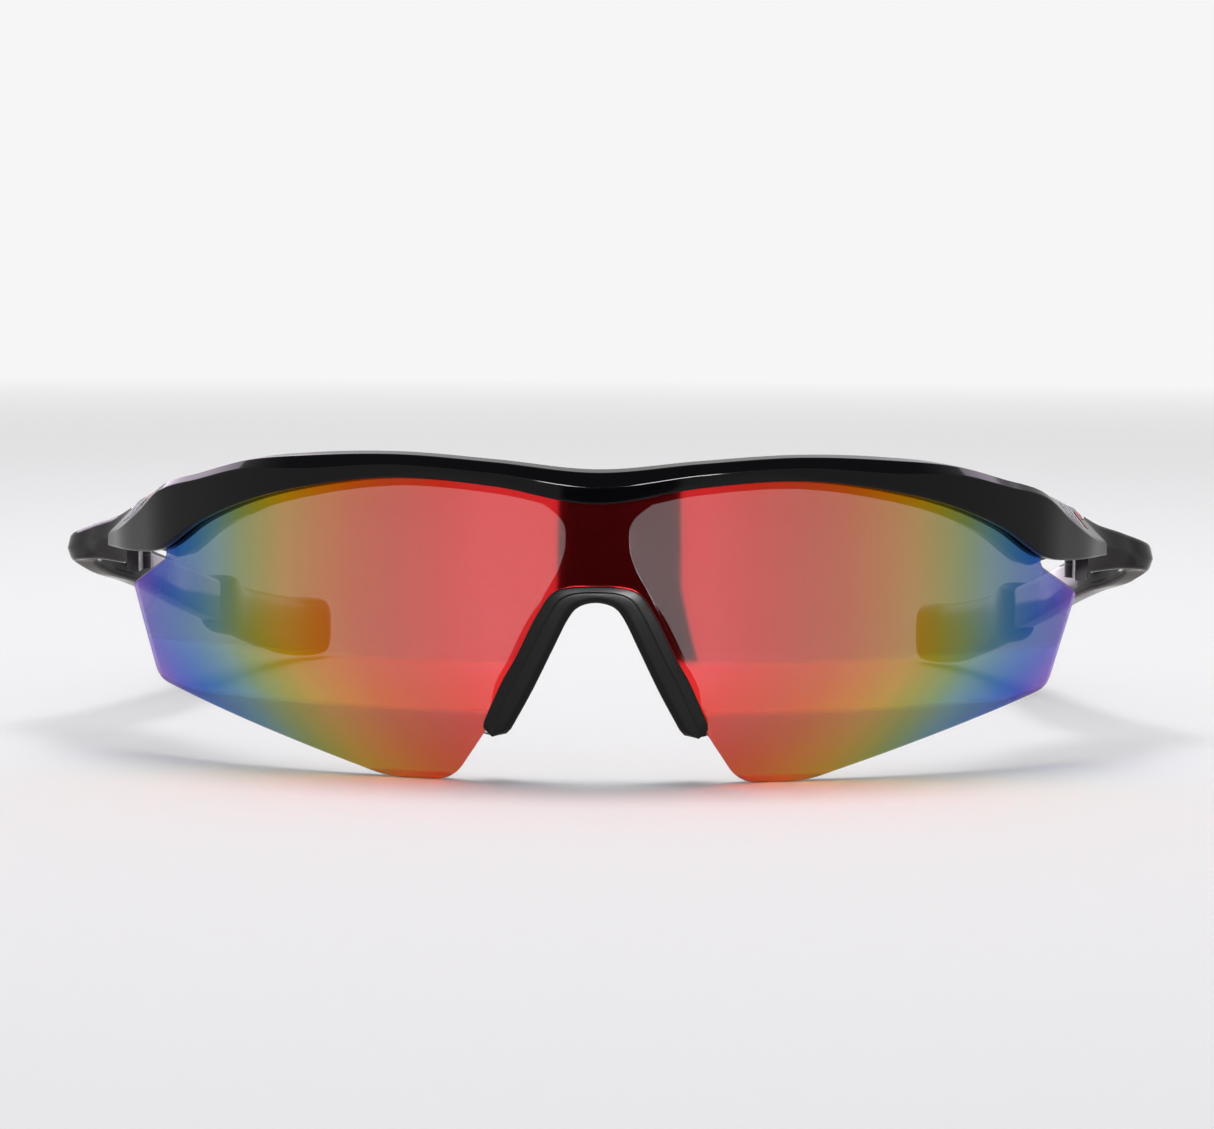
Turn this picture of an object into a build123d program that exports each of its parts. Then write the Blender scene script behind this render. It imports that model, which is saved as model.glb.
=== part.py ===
from build123d import *
from math import atan2, cos, radians, sin, sqrt
import os

# Wraparound sport sunglasses, open, standing on the two lobes of the shield lens and the two ear socks.
# Millimetres. X points to the wearer's left, Y from the lens back to the ears, Z up from the table.
# The model is built with the lens apex at Y = 0 and centred over its own length at the end.

# Shield lens: a toric shell, bent round a vertical axis and bulged a little up and down
BASE_RADIUS = 75.0
BULGE_RADIUS = 180.0
LENS_HALF_ANGLE = 56.7
LENS_THICKNESS = 2.0
LENS_NOTCH_ROUND = 1.4
LENS_CORNER_ROUND = 1.0
LENS_SIDE_ROUND = 3.0
LENS_LOBE_OUTER_ROUND = 15.0
LENS_LOBE_INNER_ROUND = 4.5
NOSE_SIDE_ROUND = 25.0
NOSE_TOP_ROUND = 5.5

# Front frame
FRONT_HEIGHT = 41.3
GROOVE_DEPTH = 1.6
GROOVE_CLEARANCE = 0.06
FRONT_LIP = 1.8
REAR_LIP = 2.3
REAR_LIP_DROP = 1.2
LIP_BREAK = 0.3
WEB_THICKNESS = 2.0
ARCH_FOOT_WIDTH = 2.6

# Nose saddle
SADDLE_LIP = 1.2
SADDLE_FLANGE = 1.3

# Hinges: a three-knuckle barrel on a vertical screw, inboard of the joint faces
HINGE_PAST_LENS = 12.06
HINGE_INSET = 6.0
HINGE_LIFT_SHARE = 0.552
KNUCKLE_RADIUS = 1.7
FRONT_KNUCKLE = 1.7
TEMPLE_KNUCKLE = 1.9
LEAF_THICKNESS = 1.6
FRONT_LEAF_LENGTH = 6.2
TEMPLE_LEAF_LENGTH = 8.2
TEMPLE_LEAF_ANGLE = 36.0
SCREW_RADIUS = 0.7
SCREW_HEAD_RADIUS = 1.35
SCREW_HEAD_HEIGHT = 0.7
SCREW_SLOT = 0.35
WASHER_THICKNESS = 0.2
RUNNING_FIT = 0.03
MOVING_GAP = 0.35

# Joint faces of lug and temple: one slanted plane, measured from the hinge axis
JOINT_FRONT = 4.6
JOINT_SLANT = 22.0
JOINT_GAP = 0.35

# Temples and ear socks
TEMPLE_THICKNESS = 3.4
TEMPLE_CORNER = 0.3
TANG_THICKNESS = 1.8
TANG_HEIGHT = 3.8
TANG_STATIONS = 3
SOCK_LENGTH = 48.0
SOCK_THICKNESS = 4.2
SOCK_HEIGHT = 9.6

# Decoration let into the outer facet of each lug
INLAY_DEPTH = 0.35
BAR_WIDTH = 1.0
BAR_LENGTH = 3.0
BAR_PITCH = 1.9
BAR_COUNT = 3
BAR_SLANT = 22.0
ACCENT_LENGTH = 3.4
ACCENT_WIDTH = 3.0
ACCENT_STROKE = 1.0

# The mark reads the same way round on both sides, so its two parts change places from side to side:
# shares of the lens half angle, and of the way up the facet
SIDES = {"left": 1, "right": -1}
BADGE_SHARE = {1: 1.022, -1: 1.066}
BADGE_CLIMB = 0.48
ACCENT_SHARE = {1: 1.094, -1: 0.992}
ACCENT_CLIMB = 0.5

# Sizes that follow from those above
LENS_HALF = BASE_RADIUS * sin(radians(LENS_HALF_ANGLE))
LENS_MIDDLE = FRONT_HEIGHT / 2
GAUGE = 200.0
AXIS = Axis((0, BASE_RADIUS, 0), (0, 0, 1))
LOFT_SPAN = 1.4 * LENS_HALF_ANGLE
HINGE_AT = radians(LENS_HALF_ANGLE + HINGE_PAST_LENS)
HINGE_X = (BASE_RADIUS - HINGE_INSET) * sin(HINGE_AT)
HINGE_Y = BASE_RADIUS - (BASE_RADIUS - HINGE_INSET) * cos(HINGE_AT)
HINGE_LIFT = HINGE_LIFT_SHARE * FRONT_HEIGHT
WASHER_GAP = WASHER_THICKNESS + RUNNING_FIT
HINGE_TOP = HINGE_LIFT + 2 * FRONT_KNUCKLE + 2 * WASHER_GAP + TEMPLE_KNUCKLE
MIDDLE_KNUCKLE_LIFT = HINGE_LIFT + FRONT_KNUCKLE + WASHER_GAP

# Brow stations: share of the lens half angle, bottom and top as shares of the front height, and the
# front crease's share of the way up
BROW = [
    (0.000, 0.852, 0.956, 0.50),
    (0.176, 0.903, 0.982, 0.50),
    (0.353, 0.922, 1.000, 0.50),
    (0.529, 0.884, 0.989, 0.52),
    (0.653, 0.833, 0.966, 0.74),
    (0.776, 0.753, 0.916, 0.82),
    (0.882, 0.659, 0.870, 0.88),
]

# Lug stations carry the brow on past the lens: the same three shares, then the section's corners as
# (distance outside the lens face, share of the way from bottom to top)
LUG = [
    (0.970, 0.640, 0.844, (0.6, 0.0), (0.9, 0.62), (0.4, 0.72), (-2.2, 1.0), -6.0),
    (1.058, 0.636, 0.812, (0.0, 0.0), (0.3, 0.40), (0.0, 0.46), (-3.4, 1.0), -6.6),
    (1.129, 0.634, 0.790, (-0.6, 0.0), (-0.4, 0.30), (-0.6, 0.36), (-4.0, 1.0), -7.0),
    (1.260, 0.630, 0.750, (-0.8, 0.0), (-0.6, 0.22), (-0.8, 0.28), (-4.4, 1.0), -7.4),
]

# Nose web and arch, as half outlines from the brow down: share of the lens half width, share of height
WEB_EDGE = [
    (0.150, 0.890),
    (0.112, 0.850),
    (0.078, 0.810),
    (0.064, 0.730),
    (0.074, 0.665),
    (0.104, 0.578),
    (0.160, 0.415),
    (0.205, 0.290),
    (0.214, 0.205),
]
SADDLE_INNER = [
    (0.180, 0.135),
    (0.128, 0.280),
    (0.089, 0.402),
    (0.056, 0.504),
    (0.034, 0.542),
    (0.000, 0.555),
]
SADDLE_OUTER = [
    (0.234, 0.152),
    (0.190, 0.305),
    (0.161, 0.385),
    (0.117, 0.520),
    (0.078, 0.592),
    (0.000, 0.606),
]

# Temple stations: sideways and back from the hinge axis, height as a share, thickness, height, then how
# far the top and the bottom lean in from the crease, and the crease's share of the height
TEMPLE = [
    (-1.0, -7.0, 0.683, 1.00, 9.2, 2.2, 2.8, 0.62),
    (2.3, -1.0, 0.649, 1.02, 6.8, 1.2, 2.2, 0.56),
    (6.0, 4.0, 0.633, 1.05, 5.1, 0.8, 1.4, 0.50),
    (9.5, 9.5, 0.603, 1.12, 4.0, 0.5, 0.6, 0.45),
    (8.0, 15.0, 0.564, 1.08, 4.8, 0.4, 0.3, 0.50),
    (4.9, 22.0, 0.528, 1.03, 5.5, 0.2, 0.1, 0.50),
    (2.4, 30.0, 0.479, 1.00, 5.7, 0.0, 0.0, 0.50),
    (0.0, 45.0, 0.397, 0.97, 6.0, 0.0, 0.0, 0.50),
    (-2.6, 60.0, 0.320, 0.94, 6.4, 0.0, 0.0, 0.50),
]
UPRIGHT = (0.0, 0.0, 0.5)

# Ear sock stations: sideways from the shoulder, share of its length, height, thickness, section height
SOCK = [
    (0.0, 0.00, 0.320, 0.90, 0.72),
    (-2.3, 0.30, 0.247, 1.00, 0.82),
    (-5.2, 0.60, 0.180, 1.04, 0.92),
    (-8.6, 0.84, 0.130, 1.00, 1.00),
    (-12.2, 0.97, 0.122, 0.72, 0.92),
    (-13.4, 1.00, 0.125, 0.34, 0.62),
]


def up(share):
    """A height given as a share of the front's height."""
    return share * FRONT_HEIGHT


def across(share):
    """A sideways place given as a share of the lens half width."""
    return share * LENS_HALF


def sagitta(height):
    """How far the bulged lens face falls back at a height."""
    return BULGE_RADIUS - sqrt(BULGE_RADIUS**2 - (height - LENS_MIDDLE) ** 2)


def both_sides(points):
    """A half outline carried across the middle, from the wearer's left edge to the right one."""
    return [Vector(x, z) for x, z in points] + [Vector(-x, z) for x, z in reversed(points) if x > 0]


def shell(inner, outer):
    """A toric shell between two distances outside the lens face."""
    low = -FRONT_HEIGHT / 4
    high = FRONT_HEIGHT * 1.25

    def at(offset, height):
        radius = BULGE_RADIUS + offset
        fall = radius - sqrt(radius**2 - (height - LENS_MIDDLE) ** 2)
        return (fall - offset, height)

    front = ThreePointArc(at(outer, low), at(outer, LENS_MIDDLE), at(outer, high))
    back = ThreePointArc(at(inner, low), at(inner, LENS_MIDDLE), at(inner, high))
    bottom = Line(at(outer, low), at(inner, low))
    top = Line(at(outer, high), at(inner, high))
    profile = Plane.YZ * make_face([front, top, back, bottom])
    ring = revolve(profile, axis=AXIS, revolution_arc=2 * LOFT_SPAN)
    return ring.rotate(AXIS, -LOFT_SPAN)


def through(lines):
    """The solid swept front to back by an outline drawn in the front view."""
    return extrude(Plane.XZ * make_face(lines), amount=GAUGE, both=True)


def lens_top(rise):
    """The lens's top edge in its groove, from one end of the brow to the other."""
    points = []
    for share, bottom, _, _ in BROW:
        angle = radians(share * LENS_HALF_ANGLE)
        points.append((BASE_RADIUS * sin(angle), up(bottom) + GROOVE_DEPTH + rise))
    points = both_sides(points)
    ordered = sorted(points, key=lambda p: -p.X)
    return Spline(*ordered)


def shield_lens():
    """One-piece shield with two lobes, a nose cutout and a notch under each lug."""
    top = lens_top(0)
    right = [
        (across(0.916), up(0.630)),
        (across(1.003), up(0.535)),
        (across(0.936), up(0.238)),
        (across(0.421), 0),
        (across(0.288), 0),
        (across(0.180), up(0.252)),
        (across(0.073), up(0.582)),
    ]
    radii = [LENS_NOTCH_ROUND, LENS_CORNER_ROUND, LENS_SIDE_ROUND, LENS_LOBE_OUTER_ROUND]
    radii += [LENS_LOBE_INNER_ROUND, NOSE_SIDE_ROUND, NOSE_TOP_ROUND]
    points = [top @ 0] + [Vector(x, z) for x, z in right]
    points += [Vector(-x, z) for x, z in reversed(right)] + [top @ 1]
    lower = FilletPolyline(*points, radius=radii + radii[::-1])
    return shell(-LENS_THICKNESS, 0) & through([top, lower])


def groove():
    """Room for the lens's top edge inside the brow."""
    top = lens_top(GROOVE_CLEARANCE)
    start = top @ 0
    end = top @ 1
    grown = start.X + GROOVE_CLEARANCE
    floor = [start, (grown, start.Y), (grown, 0), (-grown, 0), (-grown, end.Y), end]
    return shell(-LENS_THICKNESS - GROOVE_CLEARANCE, GROOVE_CLEARANCE) & through([top, Polyline(*floor)])


def brow_corners(bottom, top, crease):
    """Section of the brow: rear lip, lens slot, front lip and the facets above it."""
    tall = top - bottom
    rear = -LENS_THICKNESS - REAR_LIP
    return [
        (rear, bottom - REAR_LIP_DROP + LIP_BREAK),
        (-LENS_THICKNESS - LIP_BREAK, bottom - REAR_LIP_DROP),
        (-LENS_THICKNESS / 3, bottom),
        (0.75 * FRONT_LIP, bottom),
        (FRONT_LIP, bottom + crease * tall),
        (0.5 * FRONT_LIP, top - 0.16 * (1 - crease) * tall),
        (-0.7 * FRONT_LIP, top),
        (rear, bottom + 0.86 * tall),
    ]


def lug_corners(bottom, top, lip, crease, edge, ridge, rear):
    """Section of the lug: a front facet under a crease and a leaning outer facet above it."""
    tall = top - bottom
    return [
        (rear, bottom + 0.12 * tall),
        (rear / 2, bottom),
        (rear / 4, bottom),
        (lip[0], bottom + lip[1] * tall),
        (crease[0], bottom + crease[1] * tall),
        (edge[0], bottom + edge[1] * tall),
        (ridge[0], bottom + ridge[1] * tall),
        (rear, bottom + 0.80 * tall),
    ]


def section(share, corners):
    """One vertical slice through the front, square to the lens's bend."""
    angle = radians(share * LENS_HALF_ANGLE)
    outward = (sin(angle), -cos(angle), 0)
    along = (-cos(angle), -sin(angle), 0)
    points = [(BASE_RADIUS + offset - sagitta(height), height) for offset, height in corners]
    face = make_face(Polyline(*points, close=True))
    return Plane(origin=(0, BASE_RADIUS, 0), x_dir=outward, z_dir=along) * face


def brow_bar():
    """The brow with its two lugs, as one smooth sweep of slices from lug to lug."""
    rows = [(share, brow_corners(up(bottom), up(top), crease)) for share, bottom, top, crease in BROW]
    for share, bottom, top, lip, crease, edge, ridge, rear in LUG:
        rows.append((share, lug_corners(up(bottom), up(top), lip, crease, edge, ridge, rear)))
    slices = [section(-share, corners) for share, corners in reversed(rows)]
    slices += [section(share, corners) for share, corners in rows[1:]]
    return loft(slices)


def joint_side(gap, behind):
    """Everything in front of, or behind, the slanted joint plane of both hinges."""
    middle = (HINGE_LIFT + HINGE_TOP) / 2
    spot = Plane(origin=(0, HINGE_Y - JOINT_FRONT + gap, middle), z_dir=(0, 1, 0))
    spot = spot.rotated((JOINT_SLANT, 0, 0))
    block = Box(GAUGE * 2, GAUGE * 2, GAUGE, align=(Align.CENTER, Align.CENTER, Align.MIN))
    if behind:
        return spot * block
    return spot * Rot(180, 0, 0) * block


def web():
    """Hourglass web behind the lens, and the arch that carries the nose saddle."""
    outer = Spline(*[Vector(across(x), up(z)) for x, z in WEB_EDGE])
    foot = outer @ 1
    toe = (foot.X - ARCH_FOOT_WIDTH, foot.Y)
    arch = [toe, (across(0.160), up(0.300)), (across(0.073), up(0.582)), (0, up(0.582))]
    crown = Line(arch[-1], (0, (outer @ 0).Y))
    half = make_face([outer, Polyline(foot, *arch), crown, Line((0, (outer @ 0).Y), outer @ 0)])
    solid = extrude(Plane.XZ * half, amount=GAUGE, both=True)
    solid += mirror(solid, about=Plane.YZ)
    back = -LENS_THICKNESS - GROOVE_CLEARANCE
    return shell(back - WEB_THICKNESS, back) & solid


def brow_frame(bar, insets):
    """The moulded front: brow, lugs, lens groove, web and arch, with pockets for what is let in."""
    return bar + web() - groove() - insets


def nose_saddle(lens, frame):
    """Soft saddle that wraps the arch and the lens's nose edges."""
    inner = Spline(*[v for v in both_sides([(across(x), up(z)) for x, z in SADDLE_INNER])])
    outer = Spline(*[v for v in both_sides([(across(x), up(z)) for x, z in SADDLE_OUTER])])
    left_foot = Line(inner @ 0, outer @ 0)
    right_foot = Line(inner @ 1, outer @ 1)
    band = through([inner, left_foot, outer, right_foot])
    back = -LENS_THICKNESS - GROOVE_CLEARANCE - WEB_THICKNESS - SADDLE_FLANGE
    body = shell(back, SADDLE_LIP) & band
    body = body - lens - frame
    return largest(body)


def largest(shape):
    """The biggest solid of a shape."""
    return max(shape.solids(), key=lambda s: s.volume)


def at_hinge(side, height):
    """A frame on one hinge axis at a height."""
    return Pos(side * HINGE_X, HINGE_Y, height)


def front_leaf(side):
    """Metal leaf moulded into the lug, with the two outer knuckles."""
    standing = (Align.CENTER, Align.CENTER, Align.MIN)
    tall = HINGE_TOP - HINGE_LIFT
    barrel = Cylinder(KNUCKLE_RADIUS, tall, align=standing)
    plate = Box(LEAF_THICKNESS, FRONT_LEAF_LENGTH, tall, align=(Align.CENTER, Align.MAX, Align.MIN))
    bore = Cylinder(SCREW_RADIUS, tall, align=standing)
    gap_height = TEMPLE_KNUCKLE + 2 * WASHER_GAP
    gap = Cylinder(KNUCKLE_RADIUS + MOVING_GAP, gap_height, align=standing)
    body = barrel + plate - bore - Pos(0, 0, FRONT_KNUCKLE) * gap
    return at_hinge(side, HINGE_LIFT) * body


def temple_leaf(side):
    """Metal leaf moulded into the temple, with the middle knuckle."""
    standing = (Align.CENTER, Align.CENTER, Align.MIN)
    barrel = Cylinder(KNUCKLE_RADIUS, TEMPLE_KNUCKLE, align=standing)
    flat = (Align.MIN, Align.CENTER, Align.MIN)
    plate = Box(TEMPLE_LEAF_LENGTH, LEAF_THICKNESS, TEMPLE_KNUCKLE, align=flat)
    turn = TEMPLE_LEAF_ANGLE if side > 0 else 180 - TEMPLE_LEAF_ANGLE
    bore = Cylinder(SCREW_RADIUS + RUNNING_FIT, TEMPLE_KNUCKLE, align=standing)
    return at_hinge(side, MIDDLE_KNUCKLE_LIFT) * (barrel + Rot(0, 0, turn) * plate - bore)


def hinge_screw(side):
    """Slotted screw through the three knuckles."""
    standing = (Align.CENTER, Align.CENTER, Align.MIN)
    shank = Cylinder(SCREW_RADIUS, HINGE_TOP - HINGE_LIFT, align=standing)
    head = Cylinder(SCREW_HEAD_RADIUS, SCREW_HEAD_HEIGHT, align=standing)
    slot = Box(4 * SCREW_HEAD_RADIUS, SCREW_SLOT, SCREW_HEAD_HEIGHT, align=standing)
    head = head - Pos(0, 0, SCREW_HEAD_HEIGHT / 2) * slot
    return at_hinge(side, HINGE_LIFT) * (shank + Pos(0, 0, HINGE_TOP - HINGE_LIFT) * head)


def hinge_washer(side, upper):
    """Thin plastic washer between a front knuckle and the temple knuckle."""
    standing = (Align.CENTER, Align.CENTER, Align.MIN)
    ring = Cylinder(KNUCKLE_RADIUS, WASHER_THICKNESS, align=standing)
    ring = ring - Cylinder(SCREW_RADIUS + RUNNING_FIT, WASHER_THICKNESS, align=standing)
    low = HINGE_LIFT + FRONT_KNUCKLE
    high = HINGE_TOP - FRONT_KNUCKLE - WASHER_THICKNESS
    return at_hinge(side, high if upper else low) * ring


def slab(side, place, heading, wide, tall, top_in, low_in, crease):
    """A slice of a temple or sock, square to its path, with a crease along its outer face."""
    along = Vector(heading[0] * side, heading[1], 0).normalized()
    out = Vector(along.Y * side, -along.X * side, 0)
    spot = Plane(origin=place, x_dir=out, z_dir=along)
    half_wide, half_tall, corner = wide / 2, tall / 2, TEMPLE_CORNER * wide
    level = crease * tall - half_tall
    points = [
        (half_wide - low_in - corner, -half_tall),
        (half_wide - low_in, -half_tall + corner),
        (half_wide, level),
        (half_wide - top_in, half_tall - corner),
        (half_wide - top_in - corner, half_tall),
        (-half_wide - top_in + corner, half_tall),
        (-half_wide - top_in, half_tall - corner),
        (-half_wide, level),
        (-half_wide - low_in, -half_tall + corner),
        (-half_wide - low_in + corner, -half_tall),
    ]
    rise = 1 if spot.y_dir.Z > 0 else -1
    points = [(x, rise * z) for x, z in points]
    return spot * make_face(Polyline(*points, close=True))


def chain(side, rows):
    """Slices along a path, each turned half way between the runs beside it."""
    slices = []
    for i, (x, y, z, *shape) in enumerate(rows):
        before = rows[max(i - 1, 0)]
        after = rows[min(i + 1, len(rows) - 1)]
        heading = (after[0] - before[0], after[1] - before[1])
        slices.append(slab(side, (side * x, y, z), heading, *shape))
    return slices


def temple_rows():
    """The temple's stations in the model's own frame."""
    rows = []
    for dx, dy, share, wide, *shape in TEMPLE:
        place = (HINGE_X + dx, HINGE_Y + dy, up(share))
        rows.append((*place, wide * TEMPLE_THICKNESS, *shape))
    return rows


def sock_rows(count, wide_scale, tall_scale):
    """Stations along the ear sock, or along the tang inside it."""
    shoulder = temple_rows()[-1]
    rows = []
    for dx, share, height, wide, tall in SOCK[:count]:
        place = (shoulder[0] + dx, shoulder[1] + share * SOCK_LENGTH, up(height))
        rows.append((*place, wide * wide_scale, tall * tall_scale, *UPRIGHT))
    return rows


def tang(side):
    """The temple's thin end inside the ear sock."""
    track = sock_rows(TANG_STATIONS, 1, 1)
    rows = [(*row[:3], TANG_THICKNESS, TANG_HEIGHT, *UPRIGHT) for row in track]
    return loft(chain(side, rows), ruled=True)


def temple(side, leaf):
    """The moulded arm: a leaf-shaped front that flares out, then a bar back to the ear sock."""
    arm = loft(chain(side, temple_rows()), ruled=True) + tang(side)
    arm = arm & joint_side(JOINT_GAP, behind=True)
    well = KNUCKLE_RADIUS + MOVING_GAP
    low = HINGE_LIFT - MOVING_GAP
    high = HINGE_TOP + SCREW_HEAD_HEIGHT + MOVING_GAP
    barrel_room = Cylinder(well, high - low, align=(Align.CENTER, Align.CENTER, Align.MIN))
    inboard = (Align.MAX if side > 0 else Align.MIN, Align.MAX, Align.CENTER)
    front_room = Pos(side * (HINGE_X + MOVING_GAP), HINGE_Y, 0) * Box(GAUGE, GAUGE, GAUGE, align=inboard)
    leaf_side = side * (HINGE_X + LEAF_THICKNESS / 2 + MOVING_GAP)
    leaf_align = (Align.MAX if side > 0 else Align.MIN, Align.MAX, Align.MIN)
    leaf_room = Pos(leaf_side, HINGE_Y, low) * Box(GAUGE, GAUGE, high - low, align=leaf_align)
    arm = arm - at_hinge(side, low) * barrel_room - front_room - leaf_room - leaf
    return largest(arm)


def ear_sock(side):
    """Rubber sleeve over the temple's thin end, resting on the table at its tip."""
    body = loft(chain(side, sock_rows(len(SOCK), SOCK_THICKNESS, SOCK_HEIGHT)), ruled=True)
    body = body - tang(side)
    above = Box(GAUGE * 2, GAUGE * 2, GAUGE, align=(Align.CENTER, Align.CENTER, Align.MIN))
    return largest(body & above)


def facet_spot(side, share, climb):
    """A frame on the lug's outer facet, x along the lug and z out of the facet."""
    for before, after in zip(LUG, LUG[1:]):
        if before[0] <= share <= after[0]:
            break
    mix = (share - before[0]) / (after[0] - before[0])
    angle = radians(share * LENS_HALF_ANGLE)
    low = [before[i] + mix * (after[i] - before[i]) for i in (1, 2)]
    ends = []
    for corner in (5, 6):
        out = before[corner][0] + mix * (after[corner][0] - before[corner][0])
        rise = before[corner][1] + mix * (after[corner][1] - before[corner][1])
        ends.append((out, up(low[0] + rise * (low[1] - low[0]))))
    out = ends[0][0] + climb * (ends[1][0] - ends[0][0])
    height = ends[0][1] + climb * (ends[1][1] - ends[0][1])
    radius = BASE_RADIUS + out - sagitta(height)
    lean = atan2(ends[0][0] - ends[1][0], ends[1][1] - ends[0][1])
    outward = Vector(sin(angle) * side, -cos(angle), 0)
    along = Vector(cos(angle) * side, sin(angle), 0)
    place = (radius * sin(angle) * side, BASE_RADIUS - radius * cos(angle), height)
    normal = outward * cos(lean) + Vector(0, 0, 1) * sin(lean)
    return Plane(origin=place, x_dir=along, z_dir=normal)


def inlay(bar, spot, sketch):
    """A thin piece let into the lug's facet, flush with its surface."""
    prism = extrude(spot * Pos(0, 0, -INLAY_DEPTH) * sketch, amount=GAUGE)
    return bar & prism


def badge(bar, side):
    """Three short slanted bars, a generic mark."""
    spot = facet_spot(side, BADGE_SHARE[side], BADGE_CLIMB)
    bars = Sketch()
    for i in range(BAR_COUNT):
        shift = (i - (BAR_COUNT - 1) / 2) * BAR_PITCH
        bars += Pos(shift, 0) * Rot(0, 0, BAR_SLANT) * Rectangle(BAR_WIDTH, BAR_LENGTH)
    return inlay(bar, spot, bars)


def accent(bar, side):
    """A coloured bracket beside the bars."""
    spot = facet_spot(side, ACCENT_SHARE[side], ACCENT_CLIMB)
    ring = Rectangle(ACCENT_LENGTH, ACCENT_WIDTH)
    room = Rectangle(ACCENT_LENGTH, ACCENT_WIDTH - ACCENT_STROKE)
    return inlay(bar, spot, ring - Pos(ACCENT_STROKE, -ACCENT_STROKE) * room)


bar = brow_bar() - joint_side(0, behind=True)
parts = {}
insets = []
for name, side in SIDES.items():
    parts[f"hinge_front_leaf_{name}"] = front_leaf(side)
    parts[f"badge_{name}"] = badge(bar, side)
    parts[f"accent_{name}"] = accent(bar, side)
    parts[f"hinge_temple_leaf_{name}"] = temple_leaf(side)
    parts[f"hinge_screw_{name}"] = hinge_screw(side)
    parts[f"hinge_washer_upper_{name}"] = hinge_washer(side, upper=True)
    parts[f"hinge_washer_lower_{name}"] = hinge_washer(side, upper=False)
    parts[f"temple_{name}"] = temple(side, parts[f"hinge_temple_leaf_{name}"])
    parts[f"ear_sock_{name}"] = ear_sock(side)
    insets += [parts[f"hinge_front_leaf_{name}"], parts[f"badge_{name}"], parts[f"accent_{name}"]]
parts["shield_lens"] = shield_lens()
parts["brow_frame"] = brow_frame(bar, insets)
parts["nose_saddle"] = nose_saddle(parts["shield_lens"], parts["brow_frame"])

front = min(shape.bounding_box().min.Y for shape in parts.values())
rear = max(shape.bounding_box().max.Y for shape in parts.values())
centred = Pos(0, -(front + rear) / 2, 0)
os.makedirs("parts", exist_ok=True)
for name, shape in parts.items():
    export_step(centred * shape, f"parts/{name}.step")
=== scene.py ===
from math import atan2, cos, pi, radians, sin, sqrt

import bmesh
import bpy
import numpy as np
from mathutils import Matrix, Vector


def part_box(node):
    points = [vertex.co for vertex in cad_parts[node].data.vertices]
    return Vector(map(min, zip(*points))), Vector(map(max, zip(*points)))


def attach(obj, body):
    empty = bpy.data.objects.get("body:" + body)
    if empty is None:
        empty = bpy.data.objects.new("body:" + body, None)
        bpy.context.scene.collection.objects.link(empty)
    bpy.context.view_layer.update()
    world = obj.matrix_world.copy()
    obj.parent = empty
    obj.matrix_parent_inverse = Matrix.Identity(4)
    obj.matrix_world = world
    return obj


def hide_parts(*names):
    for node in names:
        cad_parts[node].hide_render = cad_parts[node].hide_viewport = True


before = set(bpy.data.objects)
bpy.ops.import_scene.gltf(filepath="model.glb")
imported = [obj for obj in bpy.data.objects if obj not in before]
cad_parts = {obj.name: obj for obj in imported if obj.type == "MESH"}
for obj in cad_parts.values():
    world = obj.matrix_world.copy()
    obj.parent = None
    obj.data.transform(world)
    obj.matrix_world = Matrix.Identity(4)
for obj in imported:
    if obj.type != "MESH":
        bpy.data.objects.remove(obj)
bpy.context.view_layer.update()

# --- Shield lens ---------------------------------------------------------------------------------
# One moulded sheet of tinted polycarbonate, bent round a vertical axis and bulged a little up and
# down, with a rainbow mirror film vacuum-coated on its front. It slides up into the brow's groove.

MM = 0.001
FRONT_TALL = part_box("brow_frame")[1].z / MM
LENS_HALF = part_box("shield_lens")[1].x / MM
APEX_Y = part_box("shield_lens")[0].y / MM
BASE_RADIUS = 75.0
BULGE_RADIUS = 180.0
LENS_HALF_ANGLE = 56.7
LENS_THICKNESS = 2.0
GROOVE_DEPTH = 1.6
GROOVE_CLEARANCE = 0.06

# Brow stations: share of the lens half angle, bottom and top as shares of the front height
BROW_SHARES = [0.000, 0.176, 0.353, 0.529, 0.653, 0.776, 0.882]
BROW_BOTTOMS = [0.852, 0.903, 0.922, 0.884, 0.833, 0.753, 0.659]
BROW_TOPS = [0.956, 0.982, 1.000, 0.989, 0.966, 0.916, 0.870]


def up(share):
    """A height given as a share of the front's height, in millimetres."""
    return share * FRONT_TALL


def sagitta(height):
    """How far the bulged lens face falls back at a height."""
    return BULGE_RADIUS - sqrt(BULGE_RADIUS**2 - (height - FRONT_TALL / 2) ** 2)


def smooth(at, xs, ys):
    """A smooth curve through a few stations."""
    xs, ys = np.asarray(xs, float), np.asarray(ys, float)
    slopes = np.gradient(ys, xs)
    i = np.clip(np.searchsorted(xs, at) - 1, 0, len(xs) - 2)
    run = xs[i + 1] - xs[i]
    t = np.clip((at - xs[i]) / run, 0, 1)
    keep = 2 * t**3 - 3 * t**2 + 1
    lead = (t**3 - 2 * t**2 + t) * run
    trail = (t**3 - t**2) * run
    return keep * ys[i] + lead * slopes[i] + (1 - keep) * ys[i + 1] + trail * slopes[i + 1]


def even(share, shares, values):
    """A smooth curve that is the same on both sides of the middle."""
    both = [-s for s in shares[:0:-1]] + list(shares)
    return smooth(share, both, list(values[:0:-1]) + list(values))


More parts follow.
